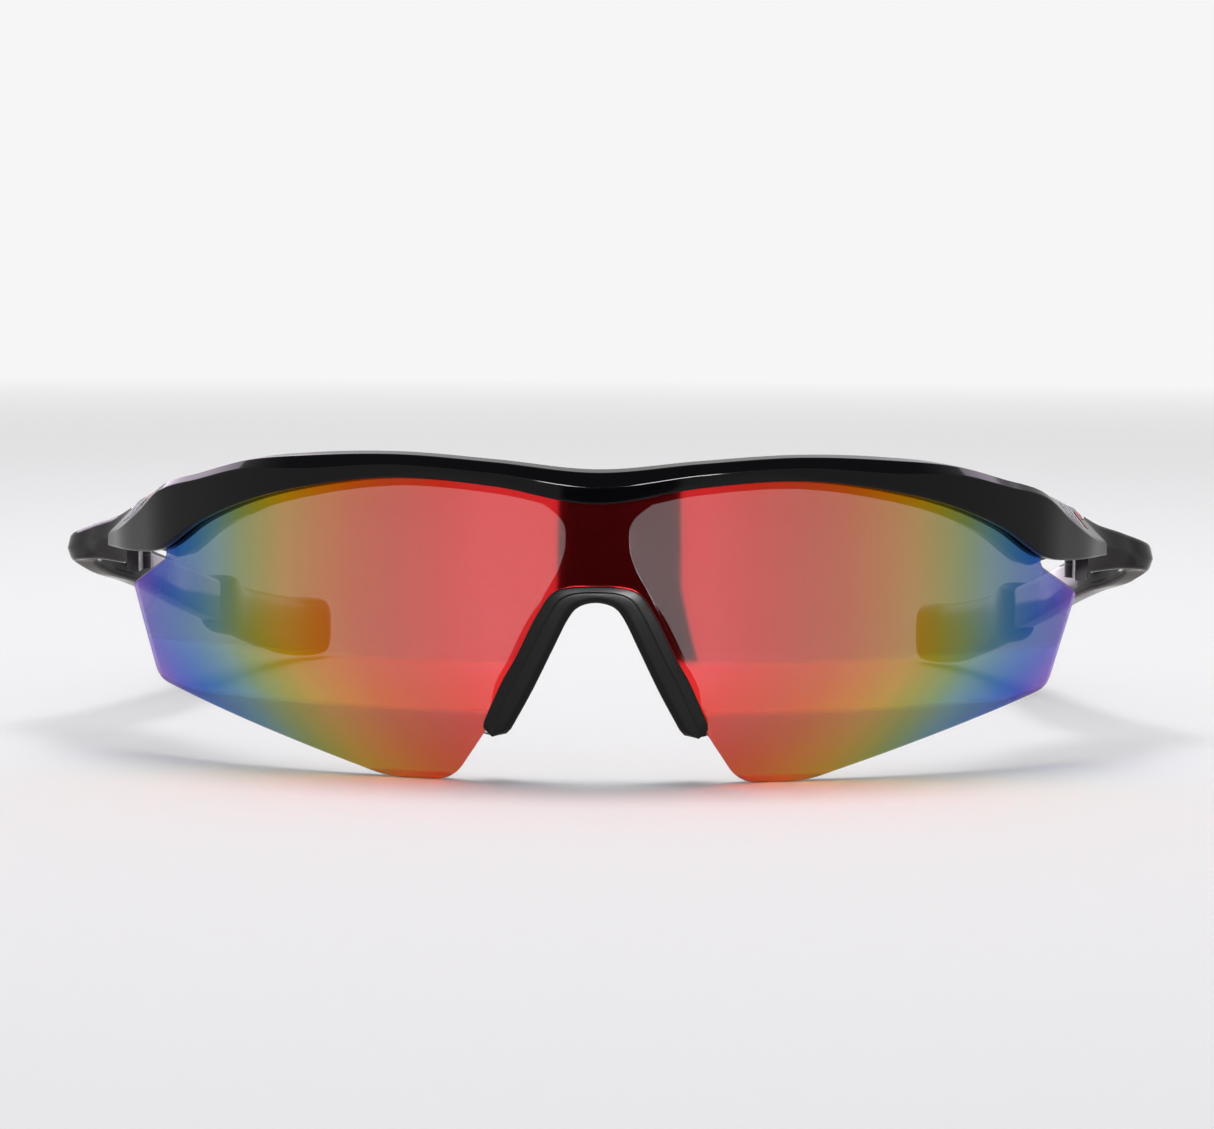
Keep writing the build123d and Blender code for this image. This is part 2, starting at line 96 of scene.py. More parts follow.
def rounded(corners, radii, steps=6, closed=True):
    """The outline through some corners, each turned into an arc of a few points."""
    corners = [np.asarray(c, float) for c in corners]
    out = []
    for i, corner in enumerate(corners):
        if not closed and i in (0, len(corners) - 1):
            out.append(corner)
            continue
        back = corners[i - 1] - corner
        ahead = corners[(i + 1) % len(corners)] - corner
        near, far = np.linalg.norm(back), np.linalg.norm(ahead)
        if near < 1e-9 or far < 1e-9:
            out += [corner] * (steps + 1)
            continue
        back, ahead = back / near, ahead / far
        half = np.arccos(np.clip(back @ ahead, -1, 1)) / 2
        reach = min(radii[i] / max(np.tan(half), 1e-6), 0.49 * near, 0.49 * far)
        for step in range(steps + 1):
            t = step / steps
            a, b = corner + back * reach, corner + ahead * reach
            out.append((1 - t) ** 2 * a + 2 * t * (1 - t) * corner + t**2 * b)
    return np.array(out)


def on_shell(x, z, offset=0.0):
    """A point of the bent and bulged lens face, or of a face some distance outside it."""
    radius = BASE_RADIUS + offset - sagitta(z)
    return Vector((x, APEX_Y + BASE_RADIUS - sqrt(max(radius**2 - x**2, 0)), z)) * MM


def lens_top(x):
    """Height of the lens's top edge, up in the brow's groove."""
    share = np.degrees(np.arcsin(min(abs(x) / BASE_RADIUS, 1))) / LENS_HALF_ANGLE
    return up(even(share, BROW_SHARES, BROW_BOTTOMS)) + GROOVE_DEPTH


def closed_skin(rings):
    """A tube through rings of points, one after the other, with its ends closed."""
    count, rows = len(rings[0]), len(rings) - 1
    bm = bmesh.new()
    bmesh.ops.create_grid(bm, x_segments=rows, y_segments=count, size=1)
    for v in bm.verts:
        row, place = round((v.co.x + 1) / 2 * rows), round((v.co.y + 1) / 2 * count)
        v.co = rings[row][place % count]
    bmesh.ops.remove_doubles(bm, verts=bm.verts[:], dist=0.000001)
    bmesh.ops.holes_fill(bm, edges=[e for e in bm.edges if e.is_boundary], sides=0)
    bmesh.ops.recalc_face_normals(bm, faces=bm.faces[:])
    return bm


def finish_piece(bm, name, body, slot, *nodes, bevel=0.0, sharp=40.0):
    """Turns a bmesh into a smooth piece that rides on a body and stands for its CAD nodes."""
    bmesh.ops.recalc_face_normals(bm, faces=bm.faces[:])
    mesh = bpy.data.meshes.new(name)
    bm.to_mesh(mesh)
    bm.free()
    piece = bpy.data.objects.new(name, mesh)
    bpy.context.scene.collection.objects.link(piece)
    mesh.shade_smooth()
    mesh.set_sharp_from_angle(angle=radians(sharp))
    if bevel:
        cut = piece.modifiers.new("worn edges", "BEVEL")
        cut.width = bevel * MM
        cut.segments = 2
        cut.limit_method = "ANGLE"
        cut.angle_limit = radians(sharp)
    even_out = piece.modifiers.new("even shading", "WEIGHTED_NORMAL")
    even_out.keep_sharp = True
    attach(piece, body)
    if nodes:
        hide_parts(*nodes)
    return piece


LENS_EDGE = [
    (0.9164, 0.700), (0.9164, 0.630), (1.003, 0.535), (0.936, 0.238), (0.421, 0.0),
    (0.288, 0.0), (0.180, 0.252), (0.073, 0.582), (-0.073, 0.582),
]
LENS_ROUNDS = [0, 1.4, 1.0, 3.0, 15.0, 4.5, 25.0, 5.5, 0]
OUTLINE_HALF = BASE_RADIUS * sin(radians(LENS_HALF_ANGLE))
EDGE_STEPS = 14
edge = rounded([(x * OUTLINE_HALF, up(z)) for x, z in LENS_EDGE], LENS_ROUNDS, EDGE_STEPS, closed=False)
tip = int(np.argmax(edge[:, 0]))
notch_line, low_line = edge[: tip + 1], edge[tip:][::-1]


def lens_floor(x):
    """Height of the lens's bottom edge, nose cutout included."""
    return np.interp(abs(x), low_line[:, 0], low_line[:, 1])


def lens_ceiling(x):
    """Height of the lens's top edge, with the notch under each lug."""
    if abs(x) < notch_line[0, 0]:
        return lens_top(x)
    return max(np.interp(abs(x), notch_line[:, 0], notch_line[:, 1]), lens_floor(x))


EDGE_STEP = 0.7
CORNER_GAP = 0.01
NOTCH_COLUMNS = 16
steps = np.hypot(*np.diff(low_line, axis=0).T).cumsum()
walk = np.interp(np.arange(0, steps[-1], EDGE_STEP), np.r_[0, steps], low_line[:, 0])
corner_x = notch_line[0, 0]
beside_corner = np.r_[corner_x - CORNER_GAP, corner_x + CORNER_GAP]
extra = np.r_[beside_corner, np.linspace(corner_x, edge[tip, 0], NOTCH_COLUMNS)]
lens_columns = np.unique(np.round(np.clip(np.r_[0, walk, extra], 0, edge[tip, 0]), 4))
lens_columns = np.r_[-lens_columns[:0:-1], lens_columns]
LENS_ROWS = 44
RIM_ROUND = 0.35
LEAST_HEIGHT = 0.02


def slice_ring(start, stop, count, face, back, place):
    """A rounded slice through a bent sheet, from start to stop on its face and home on its back."""
    round_off = min(RIM_ROUND, (stop - start) * 0.3)
    run = np.linspace(start + round_off, stop - round_off, count)
    corners = [(start, face), (stop, face), (stop, back), (start, back)]
    arcs = rounded(corners, [round_off] * 4, 3).reshape(4, 4, 2)
    front = [(at, face) for at in run[1:-1]]
    rear = [(at, back) for at in run[-2:0:-1]]
    outline = [*arcs[0], *front, *arcs[1], *arcs[2], *rear, *arcs[3]]
    return [place(at, offset) for at, offset in outline]


rings = []
for x in lens_columns:
    low = lens_floor(x)
    high = max(lens_ceiling(x), low + LEAST_HEIGHT)
    rings.append(slice_ring(
        low, high, LENS_ROWS, 0.0, -LENS_THICKNESS, lambda z, off: on_shell(x, z, off)))
lens = finish_piece(closed_skin(rings), "mirror_shield", "front", "mirror_lens", "shield_lens")


class Link:
    """A shader socket in an expression: each operator adds its Math node."""

    def __init__(self, tree, socket=None):
        self.tree = tree
        self.socket = socket

    def node(self, kind, settings=(), sockets=(), out=0):
        """Any other node, from its type, its settings and the values or links of its sockets."""
        made = self.tree.nodes.new(kind)
        for name, value in dict(settings).items():
            if name == "stops":
                ramp = made.color_ramp
                while len(ramp.elements) < len(value):
                    ramp.elements.new(0.5)
                for stop, (at, colour) in zip(ramp.elements, value):
                    stop.position = at
                    stop.color = (*colour, 1)
            else:
                setattr(made, name, value)
        for name, value in dict(sockets).items():
            if isinstance(value, Link):
                self.tree.links.new(value.socket, made.inputs[name])
            else:
                made.inputs[name].default_value = value
        return Link(self.tree, made.outputs[out]) if made.outputs else None

    def math(self, operation, *values):
        return self.node("ShaderNodeMath", {"operation": operation}, dict(enumerate(values)))

    def __add__(self, other):
        return self.math("ADD", self, other)

    def __radd__(self, other):
        return self.math("ADD", other, self)

    def __sub__(self, other):
        return self.math("SUBTRACT", self, other)

    def __rsub__(self, other):
        return self.math("SUBTRACT", other, self)

    def __mul__(self, other):
        return self.math("MULTIPLY", self, other)

    def __rmul__(self, other):
        return self.math("MULTIPLY", other, self)

    def __truediv__(self, other):
        return self.math("DIVIDE", self, other)

    def __pow__(self, other):
        return self.math("POWER", self, other)

    def __abs__(self):
        return self.math("ABSOLUTE", self)

    def clamp(self, low=0.0, high=1.0):
        """The value held between two limits."""
        return self.math("MAXIMUM", self.math("MINIMUM", self, high), low)


def new_material(name):
    """An empty node material, with its tree ready for expressions and its object-space position."""
    material = bpy.data.materials.new(name)
    material.use_nodes = True
    material.node_tree.nodes.clear()
    tree = Link(material.node_tree)
    return material, tree, tree.node("ShaderNodeTexCoord", out="Object")


def surface(material, tree, sockets):
    """Ends a material in one principled shader."""
    shader = tree.node("ShaderNodeBsdfPrincipled", (), sockets)
    tree.node("ShaderNodeOutputMaterial", (), {"Surface": shader})
    return material


def noise(tree, at, scale, detail=3.0, roughness=0.5):
    """Soft noise over the surface, from 0 to 1."""
    sockets = {"Vector": at, "Scale": scale, "Detail": detail, "Roughness": roughness}
    return tree.node("ShaderNodeTexNoise", (), sockets)


def srgb(red, green, blue):
    """A colour given in everyday 0 to 255 steps."""
    shares = [c / 255 for c in (red, green, blue)]
    return tuple(c / 12.92 if c < 0.0404 else ((c + 0.055) / 1.055) ** 2.4 for c in shares)


def bumps(tree, height, strength, distance):
    """Surface relief from a height."""
    sockets = {"Height": height, "Strength": strength, "Distance": distance}
    return tree.node("ShaderNodeBump", (), sockets)


FILM_STOPS = [
    (0.00, srgb(255, 42, 48)), (0.22, srgb(255, 52, 54)), (0.31, srgb(238, 52, 34)),
    (0.42, srgb(218, 74, 34)), (0.50, srgb(212, 92, 14)), (0.58, srgb(205, 120, 8)),
    (0.65, srgb(190, 142, 14)), (0.70, srgb(160, 150, 34)), (0.75, srgb(128, 150, 84)),
    (0.80, srgb(98, 142, 144)), (0.845, srgb(66, 124, 166)), (0.90, srgb(26, 98, 186)),
    (0.95, srgb(52, 72, 190)), (1.00, srgb(124, 66, 184)),
]
FILM_ALPHA = 0.72
SMOKE_ALPHA = 0.60
LOW_BEND = 0.017
LOW_REACH = 0.013
LOW_SHIFT = 0.15
LOW_SHADE_ALPHA = 0.16


def mirror_film():
    """Interference film: the hue runs from red in the middle to violet at the ends and lower rim."""
    material, tree, at = new_material("rainbow_mirror_film")
    x = tree.node("ShaderNodeSeparateXYZ", (), {"Vector": at}, out="X")
    z = tree.node("ShaderNodeSeparateXYZ", (), {"Vector": at}, out="Z")
    drift = (noise(tree, at, 60.0, 2.0) - 0.5) * 0.02
    low = ((LOW_BEND - z) / LOW_REACH).clamp(0.0, 1.3) ** 1.2
    place = abs(x) / (LENS_HALF * MM) + low * LOW_SHIFT + drift
    colour = tree.node("ShaderNodeValToRGB", {"stops": FILM_STOPS}, {"Fac": place})
    haze = noise(tree, at, 900.0, 4.0)
    relief = bumps(tree, noise(tree, at, 35.0, 1.0), 0.02, 0.0004)
    return surface(material, tree, {
        "Base Color": colour, "Metallic": 1.0, "Roughness": 0.05 + haze * 0.03,
        # Painted shade: toward the lower rim the film grows more opaque, so less of the pale table behind
        # the lens shows through there.
        "Alpha": FILM_ALPHA + low * LOW_SHADE_ALPHA, "Normal": relief,
    })


def smoke_tint():
    """Warm smoke-tinted polycarbonate, as the wearer's side and the rim show it."""
    material, tree, at = new_material("smoke_tint")
    cloud = noise(tree, at, 40.0, 2.0)
    haze = noise(tree, at, 700.0, 3.0)
    colour = tree.node("ShaderNodeMix", {"data_type": "RGBA"}, {
        "Factor": cloud, 6: (0.045, 0.016, 0.012, 1), 7: (0.060, 0.024, 0.018, 1)}, out=2)
    return surface(material, tree, {
        "Base Color": colour, "Roughness": 0.05 + haze * 0.03, "IOR": 1.58, "Alpha": SMOKE_ALPHA})


lens.data.materials.append(mirror_film())
lens.data.materials.append(smoke_tint())
FILM_WRAP = 0.15
for face in lens.data.polygons:
    spot = face.center / MM
    reach = sqrt(spot.x**2 + (APEX_Y + BASE_RADIUS - spot.y) ** 2)
    face.material_index = int(reach < BASE_RADIUS - sagitta(spot.z) - FILM_WRAP)

# --- Brow ----------------------------------------------------------------------------------------
# The half frame: a faceted bar of gloss black plastic with a groove for the lens and a lug at each
# end, moulded in one with the web and the arch behind the lens. It is polished in the mould.

FRONT_LIP = 1.8
REAR_LIP = 2.3
REAR_LIP_DROP = 1.2
REAR = -LENS_THICKNESS - REAR_LIP
BROW_ROUNDS = [0.5, 0.3, 0.1, 0.1, 0.15, 0.35, 0.5, 0.3, 0.6, 0.6]
BROW_COLUMNS = 150
CORNER_STEPS = 4
LIP_BREAK = 0.3
TOE_SHARE = 0.75
TOP_BREAK = 0.16
TOP_SETBACK = 0.7
REAR_TOP = 0.86
LUG_END = 1.260


def brow_section(bottom, top, crease):
    """Corners of the brow's section: rear lip, groove, front lip and the facets above it."""
    tall = top - bottom
    slot = -LENS_THICKNESS - GROOVE_CLEARANCE
    return [
        (REAR, bottom - REAR_LIP_DROP + LIP_BREAK),
        (slot, bottom - REAR_LIP_DROP),
        (slot, bottom + GROOVE_DEPTH + GROOVE_CLEARANCE),
        (GROOVE_CLEARANCE, bottom + GROOVE_DEPTH + GROOVE_CLEARANCE),
        (GROOVE_CLEARANCE, bottom),
        (TOE_SHARE * FRONT_LIP, bottom),
        (FRONT_LIP, bottom + crease * tall),
        (0.5 * FRONT_LIP, top - TOP_BREAK * (1 - crease) * tall),
        (-TOP_SETBACK * FRONT_LIP, top),
        (REAR, bottom + REAR_TOP * tall),
    ]


def lug_section(bottom, top, lip, crease, ridge_edge, ridge, rear):
    """Corners of the lug's section: a front facet under a crease and a leaning outer facet."""
    tall = top - bottom
    return [
        (rear, bottom + 0.12 * tall), (rear / 2, bottom), (rear / 2 + LIP_BREAK, bottom),
        (rear / 4, bottom), (rear / 4 + LIP_BREAK, bottom), (lip, bottom),
        (crease[0], bottom + crease[1] * tall),
        (ridge_edge[0], bottom + ridge_edge[1] * tall), (ridge, top), (rear, bottom + 0.80 * tall),
    ]


CREASES = [0.50, 0.50, 0.50, 0.52, 0.74, 0.82, 0.88]
stations = []
for share, bottom, top, crease in zip(BROW_SHARES, BROW_BOTTOMS, BROW_TOPS, CREASES):
    stations.append((share, brow_section(up(bottom), up(top), crease)))
stations += [
    (0.970, lug_section(up(0.640), up(0.844), 0.6, (0.9, 0.62), (0.4, 0.72), -2.2, -6.0)),
    (1.058, lug_section(up(0.636), up(0.812), 0.0, (0.3, 0.40), (0.0, 0.46), -3.4, -6.6)),
    (1.129, lug_section(up(0.634), up(0.790), -0.6, (-0.4, 0.30), (-0.6, 0.36), -4.0, -7.0)),
    (LUG_END, lug_section(up(0.630), up(0.750), -0.8, (-0.6, 0.22), (-0.8, 0.28), -4.4, -7.4)),
]
station_shares = [s for s, _ in stations]
corner_table = np.array([corners for _, corners in stations])


def on_ring(share, offset, z):
    """A point of the front, from its angle round the lens's bend, its offset and its height."""
    angle = radians(share * LENS_HALF_ANGLE)
    radius = BASE_RADIUS + offset - sagitta(z)
    return Vector((radius * sin(angle), APEX_Y + BASE_RADIUS - radius * cos(angle), z)) * MM


def brow_corners(share):
    """All the section's corners at any place along the front."""
    out = []
    for c in range(corner_table.shape[1]):
        out.append([even(share, station_shares, corner_table[:, c, k]) for k in (0, 1)])
    return out


HINGE_X = sum(v.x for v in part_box("hinge_screw_left")) / 2 / MM
HINGE_Y = sum(v.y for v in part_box("hinge_screw_left")) / 2 / MM
HINGE_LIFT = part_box("hinge_front_leaf_left")[0].z / MM
HINGE_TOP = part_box("hinge_front_leaf_left")[1].z / MM
SCREW_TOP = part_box("hinge_screw_left")[1].z / MM
JOINT_FRONT = 4.6
JOINT_GAP = 0.35
JOINT_SLANT = 22.0
joint_normal = Vector((0, cos(radians(JOINT_SLANT)), sin(radians(JOINT_SLANT))))
joint_point = Vector((0, HINGE_Y - JOINT_FRONT, (HINGE_LIFT + HINGE_TOP) / 2))


def trim_at_joint(bm, gap, keep_front):
    """Cuts a piece square to the slanted joint plane and closes the cut."""
    spot = (joint_point + Vector((0, gap, 0))) * MM
    geometry = bm.verts[:] + bm.edges[:] + bm.faces[:]
    bmesh.ops.bisect_plane(
        bm, geom=geometry, dist=1e-7, plane_co=spot, plane_no=joint_normal,
        clear_outer=keep_front, clear_inner=not keep_front,
    )
    bmesh.ops.holes_fill(bm, edges=[e for e in bm.edges if e.is_boundary], sides=0)


rings = []
for share in np.linspace(-LUG_END, LUG_END, BROW_COLUMNS + 1):
    outline = rounded(brow_corners(share), BROW_ROUNDS, CORNER_STEPS)
    rings.append([on_ring(share, offset, z) for offset, z in outline])
bm = closed_skin(rings)
bmesh.ops.recalc_face_normals(bm, faces=bm.faces[:])
trim_at_joint(bm, 0, keep_front=True)
brow = finish_piece(bm, "brow_bar", "front", "gloss_black", "brow_frame")


def gloss_black():
    """Polished black plastic: a deep base, faint moulding waves and a few dust specks."""
    material, tree, at = new_material("polished_black_plastic")
    specks = tree.node("ShaderNodeTexVoronoi", {"feature": "F1"}, {"Vector": at, "Scale": 420.0})
    dust = (1 - specks * 9.0).clamp() * (noise(tree, at, 70.0) * 4.0 - 2.3).clamp()
    smear = noise(tree, at, 140.0, 4.0)
    waves = noise(tree, at, 55.0, 1.0)
    colour = tree.node("ShaderNodeMix", {"data_type": "RGBA"}, {
        "Factor": dust * 0.35, 6: (*srgb(9, 8, 12), 1), 7: (*srgb(150, 146, 152), 1)}, out=2)
    return surface(material, tree, {
        "Base Color": colour, "Roughness": 0.06 + smear * 0.05 + dust * 0.3, "Specular IOR Level": 0.17,
        "Normal": bumps(tree, waves, 0.03, 0.0004),
    })


black = gloss_black()
brow.data.materials.append(black)

# --- Web and arch --------------------------------------------------------------------------------
# The hourglass web behind the lens carries the arch over the nose, whose two flat legs back up the
# lens's nose edges. It is moulded in one with the brow, in the same black plastic.

WEB_THICKNESS = 2.0
WEB_HEIGHTS = [0.920, 0.890, 0.850, 0.810, 0.730, 0.665, 0.578, 0.415, 0.290, 0.205]
WEB_HALVES = [0.185, 0.150, 0.112, 0.078, 0.064, 0.074, 0.104, 0.160, 0.205, 0.214]
WEB_COLUMNS = 8
LEG_LEAST = 0.5
WEB_MEETS = 0.6
web_back = -LENS_THICKNESS - GROOVE_CLEARANCE


def web_outer(z):
    """Half width of the web and arch at a height."""
    return smooth(z, [up(h) for h in WEB_HEIGHTS[::-1]], [w * OUTLINE_HALF for w in WEB_HALVES[::-1]])


nose_line = low_line[low_line[:, 0] < 0.29 * OUTLINE_HALF]
nose_heights, nose_halves = nose_line[::-1, 1], nose_line[::-1, 0]


def web_inner(z):
    """Half width of the nose cutout at a height."""
    return np.interp(z, nose_heights, nose_halves) if z < nose_heights[-1] else 0.0


web_heights = np.r_[np.linspace(up(0.205), up(0.56), 40), np.linspace(up(0.565), up(0.60), 14)]
web_heights = np.r_[web_heights, np.linspace(up(0.61), up(0.920), 30)]
rings = []
for z in web_heights:
    outer = web_outer(z)
    inner = min(web_inner(z), outer - LEG_LEAST)
    rings.append(slice_ring(
        inner, outer, WEB_COLUMNS, web_back, web_back - WEB_THICKNESS, lambda x, off: on_shell(x, z, off)))
bm = closed_skin(rings)
for v in bm.verts:
    if v.co.z > up(WEB_MEETS) * MM and v.co.x < RIM_ROUND * MM:
        v.co.x = 0
seam = [f for f in bm.faces if all(v.co.x < 1e-7 for v in f.verts)]
bmesh.ops.delete(bm, geom=seam, context="FACES")
bmesh.ops.mirror(bm, geom=bm.verts[:] + bm.edges[:] + bm.faces[:], axis="X", merge_dist=0.000002)
web = finish_piece(bm, "nose_web", "front", "gloss_black")
web.data.materials.append(black)

# --- Nose saddle ---------------------------------------------------------------------------------
# One soft rubber channel, stretched over the arch and the lens's nose edges. A narrow lip grips the
# front of the lens, and a wider flange lies behind the arch's legs, against the nose.

SADDLE_LIP = 1.2
SADDLE_FLANGE = 1.3
SADDLE_INNER = [
    (0.180, 0.135), (0.128, 0.280), (0.089, 0.402), (0.056, 0.504), (0.034, 0.542), (0.0, 0.555),
]
SADDLE_OUTER = [
    (0.234, 0.152), (0.190, 0.305), (0.161, 0.385), (0.117, 0.520), (0.078, 0.592), (0.0, 0.606),
]
SADDLE_ROUNDS = [0.5, 0.6, 0.2, 0.2, 0.3, 0.1, 0.2, 0.2, 0.2, 0.4, 0.5, 0.7]
SADDLE_WALL = 1.25
TIP_SHARE = 0.045
SADDLE_SPREAD = 0.9
SADDLE_STEPS = 90
flange_back = web_back - WEB_THICKNESS - SADDLE_FLANGE


def along_arch(points):
    """Both sides of a saddle outline as one smooth path over the nose."""
    both = [(x, z) for x, z in points] + [(-x, z) for x, z in points[-2::-1]]
    knots = np.linspace(0, 1, len(both))
    xs = [x * OUTLINE_HALF for x, _ in both]
    zs = [up(z) for _, z in both]
    return lambda t: np.array([smooth(t, knots, xs), smooth(t, knots, zs)])


saddle_in, saddle_out = along_arch(SADDLE_INNER), along_arch(SADDLE_OUTER)
rings = []
for t in np.linspace(0, 1, SADDLE_STEPS + 1):
    end = min(t, 1 - t) * 2
    swell = min(1.0, end / TIP_SHARE)
    plump = sqrt(max(0.0, 1 - (1 - swell) ** 2)) * 0.92 + 0.08
    inner, outer = saddle_in(t), saddle_out(t)
    across = outer - inner
    wide = np.linalg.norm(across)
    across = across / wide
    middle = inner + across * wide / 2
    half = wide / 2 * plump
    spread = SADDLE_SPREAD * sin(pi * min(1, max(0, (end - 0.12) / 0.62))) * plump
    wall = min(SADDLE_WALL, wide * 0.45)
    corners = [
        (-half, SADDLE_LIP * 0.55), (-half * 0.55, SADDLE_LIP), (half * 0.2, SADDLE_LIP * 0.93),
        (half * 0.35, SADDLE_LIP * 0.80), (half, SADDLE_LIP * 0.62), (half, 0.0),
        (wall - half, 0.0), (wall - half, web_back - WEB_THICKNESS),
        (half + spread, web_back - WEB_THICKNESS), (half + spread, flange_back + 0.3),
        (half * 0.6, flange_back), (-half, flange_back + 0.5),
    ]
    outline = rounded(corners, SADDLE_ROUNDS, 3)
    ring = []
    for n, depth in outline:
        spot = middle + across * n
        ring.append(on_shell(spot[0], max(spot[1], 0.3), depth))
    rings.append(ring)
saddle = finish_piece(closed_skin(rings), "soft_nose_saddle", "front", "soft_rubber", "nose_saddle")


def soft_rubber():
    """Black moulded rubber with a fine eggshell grain and slightly polished high spots."""
    material, tree, at = new_material("soft_black_rubber")
    grain = noise(tree, at, 2600.0, 4.0, 0.6)
    wear = noise(tree, at, 90.0, 3.0)
    colour = tree.node("ShaderNodeMix", {"data_type": "RGBA"}, {
        "Factor": wear, 6: (*srgb(8, 7, 10), 1), 7: (*srgb(15, 13, 17), 1)}, out=2)
    return surface(material, tree, {
        "Base Color": colour, "Roughness": 0.26 + wear * 0.12, "Specular IOR Level": 0.2,
        "Normal": bumps(tree, grain, 0.12, 0.00006),
    })


rubber = soft_rubber()
saddle.data.materials.append(rubber)

# --- Temples -------------------------------------------------------------------------------------
# Each arm is one gloss black moulding: a leaf-shaped front that flares out past the hinge, then a
# slim bar back to the ear sock. Its inner front corner is cut away round the hinge.

TEMPLE_THICKNESS = 3.4
TEMPLE = [
    (-1.0, -7.0, 0.683, 1.00, 9.2, 2.2, 2.8, 0.62), (2.3, -1.0, 0.649, 1.02, 6.8, 1.2, 2.2, 0.56),
    (6.0, 4.0, 0.633, 1.05, 5.1, 0.8, 1.4, 0.50), (9.5, 9.5, 0.603, 1.12, 4.0, 0.5, 0.6, 0.45),
    (8.0, 15.0, 0.564, 1.08, 4.8, 0.4, 0.3, 0.50), (4.9, 22.0, 0.528, 1.03, 5.5, 0.2, 0.1, 0.50),
    (2.4, 30.0, 0.479, 1.00, 5.7, 0.0, 0.0, 0.50), (0.0, 45.0, 0.397, 0.97, 6.0, 0.0, 0.0, 0.50),
    (-2.6, 60.0, 0.320, 0.94, 6.4, 0.0, 0.0, 0.50),
]
SHOULDER = TEMPLE[-1]
SOCK_LENGTH = 48.0


def bar_rings(rows, count, round_share):
    """Rounded slices along a path, each square to it, with a crease along the outer face."""
    rows = np.array(rows, float)
    knots = np.r_[0, np.hypot(np.diff(rows[:, 0]), np.diff(rows[:, 1])).cumsum()]
    at = np.linspace(0, knots[-1], count)
    track = np.array([[smooth(t, knots, rows[:, k]) for k in range(rows.shape[1])] for t in at])
    rings = []
    for i, (x, y, z, wide, tall, top_in, low_in, crease) in enumerate(track):
        ahead = track[min(i + 1, count - 1)] - track[max(i - 1, 0)]
        along = Vector((ahead[0], ahead[1], 0)).normalized()
        out = Vector((along.y, -along.x, 0))
        a, b = wide / 2, tall / 2
        level = crease * tall - b
        corners = [
            (a - low_in, -b), (a, level), (a - top_in, b), (-a - top_in, b), (-a, level), (-a - low_in, -b),
        ]
        soft = round_share * wide
        outline = rounded(corners, [soft, 0, soft, soft, 0, soft], 4)
        place = Vector((x, y, z))
        rings.append([(place + out * p + Vector((0, 0, q))) * MM for p, q in outline])
    return rings


def mirrored(rings, side):
    """Rings on the wearer's left, carried over to the right when side is -1."""
    return [[Vector((side * p.x, p.y, p.z)) for p in ring] for ring in rings]


def cut_with(bm, side, low, high, x_from, x_to, y_from, y_to):
    """Takes a box out of a piece, given outward from the middle of the glasses."""
    cutter = bmesh.new()
    bmesh.ops.create_cube(cutter, size=1)
    size = Vector((x_to - x_from, y_to - y_from, high - low))
    centre = Vector(((x_from + x_to) / 2 * side, (y_from + y_to) / 2, (low + high) / 2))
    bmesh.ops.scale(cutter, vec=size * MM, verts=cutter.verts[:])
    bmesh.ops.translate(cutter, vec=centre * MM, verts=cutter.verts[:])
    return subtract(bm, cutter)


def subtract(bm, cutter):
    """One closed shape less another."""
    holders = []
    for name, shape in (("body", bm), ("cutter", cutter)):
        bmesh.ops.recalc_face_normals(shape, faces=shape.faces[:])
        mesh = bpy.data.meshes.new(name)
        shape.to_mesh(mesh)
        shape.free()
        holder = bpy.data.objects.new(name, mesh)
        bpy.context.scene.collection.objects.link(holder)
        holders.append(holder)
    body, tool = holders
    cut = body.modifiers.new("cut", "BOOLEAN")
    cut.operation = "DIFFERENCE"
    cut.solver = "EXACT"
    cut.object = tool
    seen = body.evaluated_get(bpy.context.evaluated_depsgraph_get())
    result = bmesh.new()
    result.from_mesh(seen.to_mesh())
    seen.to_mesh_clear()
    for holder in holders:
        mesh = holder.data
        bpy.data.objects.remove(holder)
        bpy.data.meshes.remove(mesh)
    return result


def barrel_room(bm, side, radius, low, high):
    """Takes the round well for the hinge barrel out of a piece."""
    cutter = bmesh.new()
    spot = Matrix.Translation(Vector((side * HINGE_X, HINGE_Y, (low + high) / 2)) * MM)
    bmesh.ops.create_cone(
        cutter, cap_ends=True, segments=40, radius1=radius * MM, radius2=radius * MM,
        depth=(high - low) * MM, matrix=spot,
    )
    return subtract(bm, cutter)


